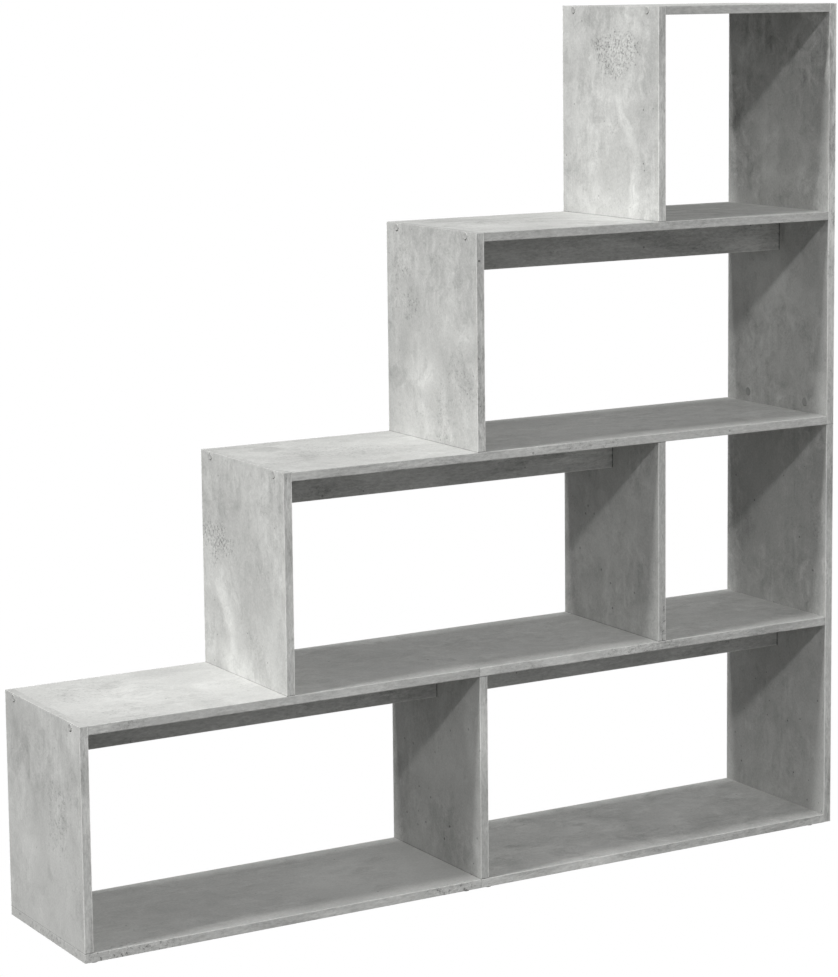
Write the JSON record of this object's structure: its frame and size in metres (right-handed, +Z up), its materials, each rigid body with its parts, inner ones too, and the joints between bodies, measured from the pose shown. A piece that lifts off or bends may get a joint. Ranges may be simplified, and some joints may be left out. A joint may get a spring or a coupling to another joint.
{
  "type": "staircase bookshelf",
  "caption": "Open free-standing bookshelf of concrete-grey board whose tiers climb in equal steps to a tall side, open front and back, with rails under the wide shelves.",
  "frame": {"origin": "on the floor, under the middle of the case's width and depth", "axes": "+X along the case to its tall side, +Y from the front to the back, +Z up"},
  "size_m": [1.5, 0.3, 1.505],
  "materials": {
    "concrete_board": "engineered board with a matt concrete-grey melamine face and edging",
    "zinced_steel": "zinc-plated steel",
    "beech": "plain turned beech",
    "dark_plastic": "dark matt plastic",
    "grey_cap": "grey matt plastic, matched to the board"
  },
  "bodies": {
    "root": {"bottom_panel_left": "concrete_board", "bottom_panel_right": "concrete_board", "cam_bolt_back": "zinced_steel", "cam_bolt_front": "zinced_steel", "cam_lock_back": "zinced_steel", "cam_lock_front": "zinced_steel", "divider_tier_1": "concrete_board", "divider_tier_2": "concrete_board", "foot_dowel_tier_1": "beech", "foot_dowel_tier_2": "beech", "foot_dowel_tier_3": "beech", "foot_dowel_tier_4": "beech", "glide_1_back": "dark_plastic", "glide_1_front": "dark_plastic", "glide_2_back": "dark_plastic", "glide_2_front": "dark_plastic", "glide_3_back": "dark_plastic", "glide_3_front": "dark_plastic", "glide_4_back": "dark_plastic", "glide_4_front": "dark_plastic", "rail_dowel_tier_1_left": "beech", "rail_dowel_tier_1_middle": "beech", "rail_dowel_tier_1_right": "beech", "rail_dowel_tier_2_left": "beech", "rail_dowel_tier_2_right": "beech", "rail_dowel_tier_3_left": "beech", "rail_dowel_tier_3_right": "beech", "rail_tier_1_left": "concrete_board", "rail_tier_1_right": "concrete_board", "rail_tier_2": "concrete_board", "rail_tier_3": "concrete_board", "shelf_1_left": "concrete_board", "shelf_1_right": "concrete_board", "shelf_2": "concrete_board", "shelf_3": "concrete_board", "side_screw_tier_1_back": "zinced_steel", "side_screw_tier_1_front": "zinced_steel", "side_screw_tier_2_back": "zinced_steel", "side_screw_tier_2_front": "zinced_steel", "side_screw_tier_3_back": "zinced_steel", "side_screw_tier_3_front": "zinced_steel", "side_screw_tier_4_back": "zinced_steel", "side_screw_tier_4_front": "zinced_steel", "side_tier_1": "concrete_board", "side_tier_2": "concrete_board", "side_tier_3": "concrete_board", "side_tier_4": "concrete_board", "tall_side_lower": "concrete_board", "tall_side_screw_level_0_back": "zinced_steel", "tall_side_screw_level_0_front": "zinced_steel", "tall_side_screw_level_1_back": "zinced_steel", "tall_side_screw_level_1_front": "zinced_steel", "tall_side_screw_level_2_back": "zinced_steel", "tall_side_screw_level_2_front": "zinced_steel", "tall_side_screw_level_3_back": "zinced_steel", "tall_side_screw_level_3_front": "zinced_steel", "tall_side_screw_level_4_back": "zinced_steel", "tall_side_screw_level_4_front": "zinced_steel", "tall_side_upper": "concrete_board", "top_panel": "concrete_board"}
  },
  "joints": []
}
